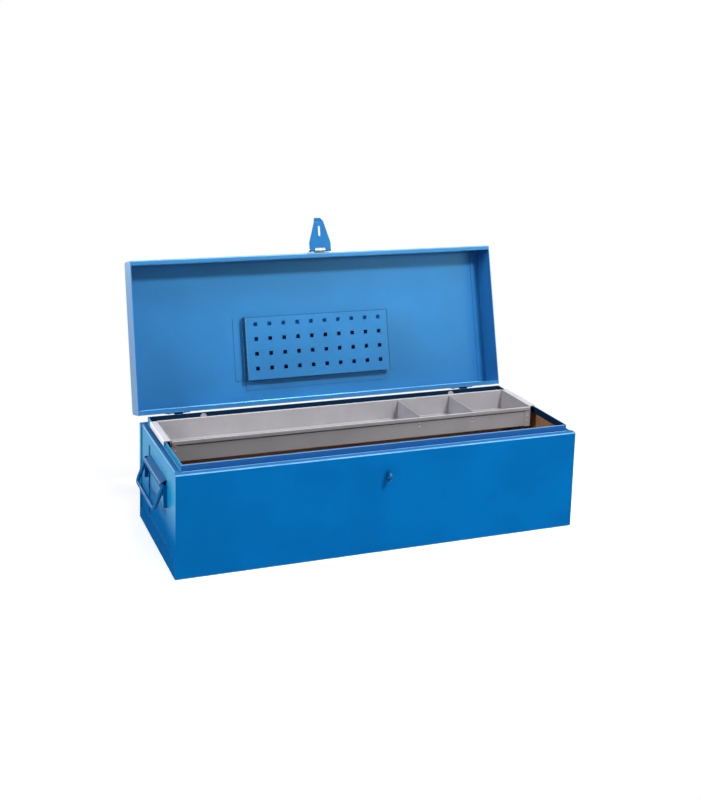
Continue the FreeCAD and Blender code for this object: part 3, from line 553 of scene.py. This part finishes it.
def sprayed_paint(
        name, colour, sheen, gloss, roughness, turn=0.0, lined=False, rims=0.0, worn_and_highlit=1.0):
    """Satin paint on sheet steel: slow waves, orange peel, faint scuffs, and bends painted lighter
    from rubbing and as a painted highlight.

    Sheen and gloss are the tint and the strength of what the paint mirrors.
    The turn says how far the sheet's own directions are turned about the chest's long axis.
    A lined shell is painted a dark colour on its inside, and its ends are wiped glossy at the top
    with a paler painted sheen.
    Rims says how much painted shade darkens the rims, bends and standing walls of a folded plate.
    worn_and_highlit says how much lighter the paint is where the sheet bends, from rubbing and as a
    painted highlight.
    """
    paint = choices().paint
    finish = Finish(name)
    bent = finish.bends(turn)
    cloud = finish.noise(CLOUD, detail=3.0)
    speck = finish.noise(SPECK, detail=2.0)
    tone = finish.blend(finish.steps(cloud, 0.35, 0.68), shade(colour, 0.93), shade(colour, 1.06))
    tone = finish.blend(finish.steps(speck, 0.62, 0.80) * 0.16, tone, shade(colour, 1.35))
    scuff = finish.noise(SCUFF, detail=5.0, roughness=0.62, stretch=(1, 1, 7))
    scratch = finish.noise(SCRATCH, detail=6.0, roughness=0.7, stretch=(1, 1, 16))
    marks = finish.steps(scuff, 0.60, 0.74) * finish.steps(scratch, 0.55, 0.66)
    lighter = tuple(channel * 1.15 + 0.004 for channel in colour)
    tone = finish.blend(marks * 0.3, tone, lighter)
    rough = roughness + (cloud - 0.5) * 0.10 + marks * 0.10 - bent * 0.12
    finish.set(Specular_IOR_Level=gloss, Specular_Tint=tuple(sheen))
    # The bends are painted lighter, partly from rubbing and partly as a painted highlight
    rubbed_and_highlit = tuple(channel * paint.rub_and_highlight_gain + lift for channel, lift in zip(colour, paint.rub_and_highlight_lift))
    wear_and_highlight = bent * (0.65 + 0.35 * finish.steps(scuff, 0.35, 0.6)) * worn_and_highlit
    if lined:
        # The collar's upper rim gets a painted highlight too
        rim = finish.collar_rim_highlight()
        wear_and_highlight = (wear_and_highlight * (1 - finish.recess())).most(rim * 0.8)
    tone = finish.blend(wear_and_highlight, tone, rubbed_and_highlit)
    # Painted shade on the rims, bends and standing walls of a folded plate
    if rims:
        tone = finish.blend(finish.rims(turn) * rims, tone, shade(colour, 0.15))
    if lined:
        across, along, up = finish.axes(finish.facing)
        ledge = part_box("body_wrap")[1].z - choices().detail.collar_height
        # Painted shade: the front of the collar is painted a darker blue
        collar = (along < -SQUARELY) * (finish.axes(finish.place)[2] > ledge)
        tone = finish.blend(collar * (1 - rim), tone, tuple(paint.collar))
        # The faces that look up are blended towards a greyer blue
        tone = finish.blend((up > SQUARELY) * 0.6, tone, tuple(paint.upward_grey))
        # Painted shade: the ends are painted darker than the front
        tone = finish.blend(across.size() > MOSTLY, tone, shade(colour, paint.end_shade_gain))
        # Painted sheen: the upper ends are painted a paler blue, and they also get a glossy coat
        wiped = finish.wiped_and_sheen_end()
        tone = finish.blend(wiped, tone, tuple(paint.painted_sheen_blue))
        # Painted shade along the front and top edges of each recess
        tone = finish.blend(finish.recess_shade() * 0.8, tone, shade(colour, 0.25))
        # The faces that look into the shell are painted a dark colour
        inside_colour = tuple(paint.inside_colour)
        thin = finish.blend(cloud, shade(inside_colour, 0.8), shade(inside_colour, 1.3))
        inside = finish.inside()
        tone = finish.blend(inside, tone, thin)
        rough = rough + (1 - wiped) * 0.12
        coat = (wiped * paint.wiped).most(paint.clear) * (1 - inside)
        finish.set(Coat_Weight=coat, Coat_Roughness=paint.wiped_roughness)
    finish.set(Base_Color=tone, Roughness=rough)
    finish.bump(finish.noise(paint.wave_size, detail=1.0), 0.012, 0.30)
    finish.bump(finish.noise(paint.peel_size, detail=1.5), 0.00010, 0.35)
    finish.bump(marks, 0.00006, 0.25)
    return finish


def tray_paint(name, colour):
    """Grey paint of the tray: fine grain, streaks of rubbing, bends painted lighter from rubbing
    and as a painted highlight, and painted shade on its front, darker at its left.
    """
    finish = Finish(name)
    cloud = finish.noise(0.09, detail=4.0)
    streak = finish.noise(0.03, detail=6.0, roughness=0.65, stretch=(0.12, 1, 1))
    grain = finish.noise(0.0012, detail=2.0)
    tone = finish.blend(finish.steps(cloud, 0.3, 0.7), shade(colour, 0.93), shade(colour, 1.08))
    tone = finish.blend(finish.steps(streak, 0.58, 0.72) * 0.30, tone, shade(colour, 1.22))
    tone = finish.blend(finish.steps(grain, 0.5, 0.75) * 0.18, tone, shade(colour, 0.75))
    # The tray's bends are painted lighter, partly from rubbing and partly as a painted highlight
    rubbed_and_highlit = finish.bends(0.0) * (0.6 + 0.4 * finish.steps(streak, 0.35, 0.6))
    tone = finish.blend(rubbed_and_highlit, tone, shade(colour, 1.15))
    # Painted shade on the tray's outer front, darker towards its left
    x, y, _ = finish.axes(finish.place)
    front = (finish.axes(finish.facing)[1] < -0.7) * (y < 0.0)
    front_shade = front * (0.75 - 0.5 * finish.steps(x, -0.5, 0.4))
    tone = finish.blend(front_shade, tone, shade(colour, 0.5))
    finish.set(Base_Color=tone, Metallic=0.12)
    finish.set(Roughness=0.46 + (streak - 0.5) * 0.16)
    finish.bump(finish.noise(0.15, detail=1.0), 0.008, 0.25)
    finish.bump(grain, 0.00006, 0.30)
    return finish


def zinc_plating(name):
    """Plated steel with a fine brushed grain and dull patches."""
    colour = tuple(choices().paint.plating)
    finish = Finish(name)
    patch = finish.noise(0.010, detail=3.0)
    brushed = finish.noise(0.0016, detail=4.0, stretch=(0.08, 1, 1))
    tone = finish.blend(finish.steps(patch, 0.35, 0.7), shade(colour, 0.8), shade(colour, 1.1))
    finish.set(Base_Color=tone, Metallic=0.9)
    finish.set(Roughness=0.34 + (patch - 0.5) * 0.2 + (brushed - 0.5) * 0.1)
    finish.bump(brushed, 0.00004, 0.3)
    return finish


def plywood(name):
    """A bare plywood board: long grain, darker pores and dirt."""
    colour = tuple(choices().paint.board)
    finish = Finish(name)
    grain = finish.noise(0.020, detail=6.0, roughness=0.6, stretch=(0.06, 1, 1), distortion=0.6)
    pores = finish.noise(0.0025, detail=3.0, stretch=(0.05, 1, 1))
    dirt = finish.noise(0.20, detail=5.0)
    rings = finish.node(
        "ShaderNodeValToRGB", {"stops": [
            (0.30, shade(colour, 0.62)), (0.46, shade(colour, 0.92)),
            (0.58, shade(colour, 1.18)), (0.72, shade(colour, 0.80))]},
        {"Fac": grain})
    tone = finish.blend(finish.steps(pores, 0.55, 0.75) * 0.45, rings, shade(colour, 0.45))
    tone = finish.blend(finish.steps(dirt, 0.5, 0.75) * 0.4, tone, shade(colour, 0.4))
    finish.set(Base_Color=tone, Roughness=0.72 + (grain - 0.5) * 0.2)
    finish.bump(grain, 0.0004, 0.35)
    finish.bump(pores, 0.0002, 0.3)
    return finish


def weld_metal(name, colour):
    """Painted weld: the paint's colour over a rippled, slightly glossier surface."""
    finish = Finish(name)
    ripple = finish.noise(0.0016, detail=2.0)
    tone = finish.blend(finish.steps(ripple, 0.35, 0.7), shade(colour, 0.85), shade(colour, 1.1))
    rough = 0.36 + (ripple - 0.5) * 0.2
    finish.set(Base_Color=tone, Roughness=rough, Specular_IOR_Level=0.4)
    finish.bump(ripple, 0.0003, 0.5)
    return finish


def dress(nodes, finish):
    """Gives the surfaces of CAD nodes a finish."""
    for name in nodes:
        slots = frame["nodes"][name].material_slots
        if not slots:
            raise RuntimeError("node " + name + " has no material slot")
        for slot in slots:
            slot.material = finish.material


def both_sides(part):
    """The names of a part's left and right node."""
    return [part + "_" + side for side in SIDES]


def new_piece(name, mesh, finish, body):
    """Puts a finished mesh in the scene, on a body, with its finish's material."""
    data = bpy.data.meshes.new(name)
    mesh.to_mesh(data)
    mesh.free()
    piece = bpy.data.objects.new(name, data)
    bpy.context.scene.collection.objects.link(piece)
    data.materials.append(finish.material)
    for face in data.polygons:
        face.use_smooth = True
    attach(piece, body)


def hinge_joint(name):
    """A joint's pivot, axis and upper limit, in metres and radians."""
    joint = next(j for j in frame["joints"] if j["name"] == name)
    return Vector(joint["pos_m"]), Vector(joint["axis"]), math.radians(joint["range_deg"][1])


def open_lid_turn():
    """Turns a place on the shut lid to where the open lid has it."""
    pivot, axis, angle = hinge_joint("lid_hinge")
    return Matrix.Translation(pivot) @ Matrix.Rotation(-angle, 4, axis) @ Matrix.Translation(-pivot)


def shut_points(node):
    """The vertices of one of the lid's nodes, where the shut lid has them."""
    back = open_lid_turn().inverted()
    return [back @ Vector(vertex.co) for vertex in frame["nodes"][node].data.vertices]


def spot_weld(mesh, place, normal):
    """One spot weld: a low ring with a sunk middle, added to a mesh."""
    detail = choices().detail
    turn = Z_AXIS.rotation_difference(normal).to_matrix().to_4x4()
    ring = bmesh.ops.create_circle(
        mesh, cap_ends=True, segments=detail.spot_sides, radius=detail.spot_radius)
    faces = list({face for vert in ring["verts"] for face in vert.link_faces})
    touched = set(ring["verts"])
    for inset, rise in SPOT_STEPS:
        made = bmesh.ops.inset_region(
            mesh, faces=faces, thickness=detail.spot_radius * inset, depth=0.0)
        for vert in {vert for face in faces for vert in face.verts}:
            vert.co.z = detail.spot_rise * rise
        touched.update(vert for face in made["faces"] for vert in face.verts)
    touched.update(vert for face in faces for vert in face.verts)
    bmesh.ops.transform(mesh, matrix=Matrix.Translation(place) @ turn, verts=list(touched))


def spaced(low, high, pitch):
    """Even places from low to high, about a pitch apart."""
    count = max(1, round((high - low) / pitch))
    return [low + (high - low) * index / count for index in range(count + 1)]


class CHEST_OT_shell(bpy.types.Operator):
    """Paint the folded body and its ends, and finish the plywood boards"""

    bl_idname = "tool_chest.shell"
    bl_label = "Paint the shell"

    def execute(self, context):
        paint = choices().paint
        shell = sprayed_paint(
            "shell paint", tuple(paint.shell), paint.shell_sheen, paint.shell_gloss,
            paint.roughness, lined=True)
        dress(["body_wrap"] + both_sides("end_panel"), shell)
        boards = ["floor_board", "lining_front", "lining_back"] + both_sides("lining")
        dress(boards, plywood("bare plywood"))
        return {"FINISHED"}


class CHEST_OT_lid(bpy.types.Operator):
    """Paint the lid and its perforated tool panel"""

    bl_idname = "tool_chest.lid"
    bl_label = "Paint the lid"

    def execute(self, context):
        paint = choices().paint
        sheen, gloss = paint.lid_sheen, paint.lid_gloss
        turn = hinge_joint("lid_hinge")[2]
        colour = tuple(paint.lid)
        lid = sprayed_paint("lid paint", colour, sheen, gloss, paint.roughness + 0.08, turn)
        dress(["lid_shell"] + both_sides("lid_end"), lid)
        panel = sprayed_paint(
            "tool panel paint", colour, sheen, gloss, paint.roughness + 0.10, turn, rims=0.9)
        clean = Wire(panel, panel.surface.inputs["Base Color"].links[0].from_socket)
        # Painted shade along the panel's upper and right edges
        line = panel.edge_shade("tool_panel", turn) * 0.8
        panel.set(Base_Color=panel.blend(line, clean, shade(colour, 0.2)))
        dress(["tool_panel"], panel)
        return {"FINISHED"}


class CHEST_OT_fittings(bpy.types.Operator):
    """Paint the hinges, hasp, staple and handles, and plate the pins"""

    bl_idname = "tool_chest.fittings"
    bl_label = "Finish the fittings"

    def execute(self, context):
        paint = choices().paint
        colour = tuple(paint.fittings)
        sheen = paint.shell_sheen
        rough = paint.roughness + 0.16
        fittings = sprayed_paint("fittings paint", colour, sheen, 0.05, rough, worn_and_highlit=0.08)
        for part in ("hinge_body_leaf", "hinge_lid_leaf",
                     "handle_bracket", "handle_stops", "handle_bail"):
            dress(both_sides(part), fittings)
        dress(["hinge_body_rivets", "hinge_lid_rivets"], fittings)
        # Painted shade: the staple is a darker copy of the fittings paint
        staple = sprayed_paint("staple paint", shade(colour, 0.62), sheen, 0.3, rough, worn_and_highlit=0.15)
        dress(["staple"], staple)
        # Painted shade: the hasp is a slightly darker copy of the lid paint
        colour = shade(tuple(paint.lid), 0.95)
        hasp = sprayed_paint("hasp paint", colour, paint.lid_sheen, 0.2, paint.roughness, worn_and_highlit=0.0)
        dress(["hasp_plate"], hasp)
        zinc = zinc_plating("zinc plating")
        dress(both_sides("hinge_pin") + ["hasp_leaf", "hasp_pin", "hasp_rivets"], zinc)
        return {"FINISHED"}


class CHEST_OT_tray(bpy.types.Operator):
    """Paint the sliding tray and its hooks"""

    bl_idname = "tool_chest.tray"
    bl_label = "Paint the tray"

    def execute(self, context):
        colour = tuple(choices().paint.tray)
        grey = tray_paint("tray paint", colour)
        dress(["tray_pan", "tray_tabs", "tray_rivets"], grey)
        dress(both_sides("tray_end") + both_sides("tray_divider"), grey)
        # Painted highlight: the hooks are a lighter copy of the tray paint
        pale = tray_paint("rubbed hook paint", shade(colour, choices().paint.hook_highlight_gain))
        dress(both_sides("tray_hook"), pale)
        return {"FINISHED"}


class CHEST_OT_spot_welds(bpy.types.Operator):
    """Add the spot welds of the tool panel's flanges and of the body's end margins"""

    bl_idname = "tool_chest.spot_welds"
    bl_label = "Add the spot welds"

    def execute(self, context):
        self.end_margins()
        self.panel_flanges()
        return {"FINISHED"}

    def end_margins(self):
        """Spot welds down both side margins of each end and along its bottom margin."""
        pitch = choices().detail.spot_pitch
        low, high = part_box("body_wrap")
        weld = weld_metal("painted spot weld", tuple(choices().paint.shell))
        for side, turned, x in zip(SIDES, (-1, 1), (low.x, high.x)):
            outwards = X_AXIS * turned
            mesh = bmesh.new()
            for y in (low.y + MARGIN_ROW, high.y - MARGIN_ROW):
                for z in spaced(low.z + ROW_END, ROW_TOP, pitch):
                    spot_weld(mesh, Vector((x, y, z)), outwards)
            for y in spaced(low.y + ROW_END, high.y - ROW_END, pitch):
                spot_weld(mesh, Vector((x, y, low.z + BOTTOM_ROW)), outwards)
            new_piece("end_spot_welds_" + side, mesh, weld, "chest")

    def panel_flanges(self):
        """Spot welds on the tool panel's flanges, made on the shut lid and turned open."""
        pitch = choices().detail.spot_pitch
        weld = weld_metal("painted lid weld", tuple(choices().paint.lid))
        points = shut_points("tool_panel")
        low = Vector(min(point[axis] for point in points) for axis in range(3))
        high = Vector(max(point[axis] for point in points) for axis in range(3))
        face = high.z - PANEL_SHEET
        mesh = bmesh.new()
        for x in (low.x + FLANGE_ROW, high.x - FLANGE_ROW):
            for y in spaced(low.y + FLANGE_ROW, high.y - SIDE_ROW_END, pitch):
                spot_weld(mesh, Vector((x, y, face)), -Z_AXIS)
        for x in spaced(low.x + LONG_ROW_END, high.x - LONG_ROW_END, pitch * LONG_ROW_GAIN):
            spot_weld(mesh, Vector((x, high.y - FLANGE_ROW, face)), -Z_AXIS)
        bmesh.ops.transform(mesh, matrix=open_lid_turn(), verts=mesh.verts)
        new_piece("tool_panel_spot_welds", mesh, weld, "lid")


def softbox(name, place, aim, size, power):
    """A soft area lamp that points at a place."""
    data = bpy.data.lights.new(name, "AREA")
    data.shape = "RECTANGLE"
    data.size, data.size_y = size
    data.energy = power
    lamp = bpy.data.objects.new(name, data)
    lamp.location = place
    lamp.rotation_euler = (Vector(aim) - Vector(place)).to_track_quat("-Z", "Y").to_euler()
    bpy.context.scene.collection.objects.link(lamp)


class CHEST_OT_stage(bpy.types.Operator):
    """Set up the pale floor, the soft lamps and the camera"""

    bl_idname = "tool_chest.stage"
    bl_label = "Set the stage"

    def execute(self, context):
        self.floor()
        self.room()
        self.lamps()
        self.camera()
        context.scene.view_settings.view_transform = "Standard"
        return {"FINISHED"}

    def floor(self):
        """A pale floor that keeps the shadow near the chest and is plain white farther away."""
        stage = choices().stage
        mesh = bmesh.new()
        bmesh.ops.create_grid(mesh, x_segments=2, y_segments=2, size=stage.floor_size / 2)
        data = bpy.data.meshes.new("floor")
        mesh.to_mesh(data)
        mesh.free()
        floor = bpy.data.objects.new("floor", data)
        bpy.context.scene.collection.objects.link(floor)
        finish = Finish("floor")
        seen = finish.seen()
        grey = shade(WHITE, stage.floor_grey)
        grain = finish.noise(0.4, detail=3.0)
        finish.set(Base_Color=finish.blend(grain, grey, shade(grey, 0.98)))
        finish.set(Roughness=0.9, Specular_IOR_Level=0.0, Emission_Color=WHITE)
        finish.set(Emission_Strength=seen * stage.floor_glow)
        x, y, _ = finish.axes(finish.place)
        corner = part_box("body_wrap")[1]
        beside = (x.size() - corner.x).most(0.0)
        before = (y.size() - corner.y).most(0.0)
        distance = (beside * beside + before * before) ** 0.5
        far = finish.steps(distance, stage.floor_near, stage.floor_far)
        white = finish.node("ShaderNodeEmission", {}, {"Color": WHITE, "Strength": 1.0})
        near = Wire(finish, finish.surface.outputs["BSDF"])
        mixed = finish.node("ShaderNodeMixShader", {}, {0: far * seen, 1: near, 2: white})
        finish.join(mixed, finish.tree.nodes["Material Output"].inputs["Surface"])
        data.materials.append(finish.material)

    def room(self):
        """An even pale room: white as far up as the camera looks, dim above, and plain light."""
        world = bpy.data.worlds.new("room")
        bpy.context.scene.world = world
        world.use_nodes = True
        nodes = Nodes(world.node_tree)
        stage = choices().stage
        direction = nodes.node("ShaderNodeTexCoord", {}, {}, "Generated")
        up = nodes.axes(direction)[2]
        low, high = math.sin(stage.room_white), math.sin(stage.room_dim)
        looks = 1.0 + nodes.steps(up, low, high) * (stage.room_level - 1.0)
        seen = nodes.seen()
        background = world.node_tree.nodes["Background"]
        nodes.join(WHITE, background.inputs["Color"])
        nodes.join(seen * looks + (1 - seen) * stage.sky, background.inputs["Strength"])

    def lamps(self):
        """Soft lights above, in front, on both sides and behind."""
        stage = choices().stage
        powers = {
            "top": stage.top_power, "key": stage.key_power, "sheen": stage.veil_power,
            "fill": stage.fill_power, "back": stage.back_power}
        for name, (place, aim, size) in LAMPS.items():
            softbox(name + " light", place, aim, size, powers[name])

    def camera(self):
        """The photograph's viewpoint, with a small lens shift that frames it."""
        settings = choices().camera
        azimuth, elevation, roll = settings.azimuth, settings.elevation, settings.roll
        back = Vector((
            math.sin(azimuth) * math.cos(elevation),
            -math.cos(azimuth) * math.cos(elevation),
            math.sin(elevation)))
        level = (-back).cross(Z_AXIS).normalized()
        upright = level.cross(-back)
        right = level * math.cos(roll) + upright * math.sin(roll)
        up = upright * math.cos(roll) - level * math.sin(roll)
        data = bpy.data.cameras.new("camera")
        data.sensor_fit = "AUTO"
        data.sensor_width = SENSOR_MILLIMETRES
        data.lens = settings.focal_pixels / settings.frame_height * data.sensor_width
        data.shift_x = (settings.frame_width / 2 - settings.axis_x) / settings.frame_height
        data.shift_y = (settings.axis_y - settings.frame_height / 2) / settings.frame_height
        camera = bpy.data.objects.new("camera", data)
        turn = Matrix((right, up, back)).transposed().to_4x4()
        place = Vector(settings.target) + back * settings.distance
        camera.matrix_world = Matrix.Translation(place) @ turn
        bpy.context.scene.collection.objects.link(camera)
        bpy.context.scene.camera = camera


class CHEST_PT_panel(bpy.types.Panel):
    """Lists the steps and the settings in the sidebar"""

    bl_idname = "CHEST_PT_panel"
    bl_label = "Tool chest"
    bl_space_type = "VIEW_3D"
    bl_region_type = "UI"
    bl_category = "Tool chest"

    def draw(self, context):
        for step in STEPS:
            self.layout.operator(step.bl_idname)
        for group in ("paint", "detail", "camera", "stage"):
            settings = getattr(context.scene.tool_chest, group)
            box = self.layout.box()
            for name in settings.__annotations__:
                box.prop(settings, name)


STEPS = (CHEST_OT_shell, CHEST_OT_lid, CHEST_OT_fittings, CHEST_OT_tray,
         CHEST_OT_spot_welds, CHEST_OT_stage)
CLASSES = (PaintSettings, DetailSettings, CameraSettings, StageSettings, ToolChestSettings,
           *STEPS, CHEST_PT_panel)


def register():
    for made in CLASSES:
        bpy.utils.register_class(made)
    bpy.types.Scene.tool_chest = PointerProperty(type=ToolChestSettings)


def unregister():
    del bpy.types.Scene.tool_chest
    for made in reversed(CLASSES):
        bpy.utils.unregister_class(made)


def main():
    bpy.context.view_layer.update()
    register()
    bpy.ops.tool_chest.shell()
    bpy.ops.tool_chest.lid()
    bpy.ops.tool_chest.fittings()
    bpy.ops.tool_chest.tray()
    bpy.ops.tool_chest.spot_welds()
    bpy.ops.tool_chest.stage()


if __name__ == "__main__":
    main()
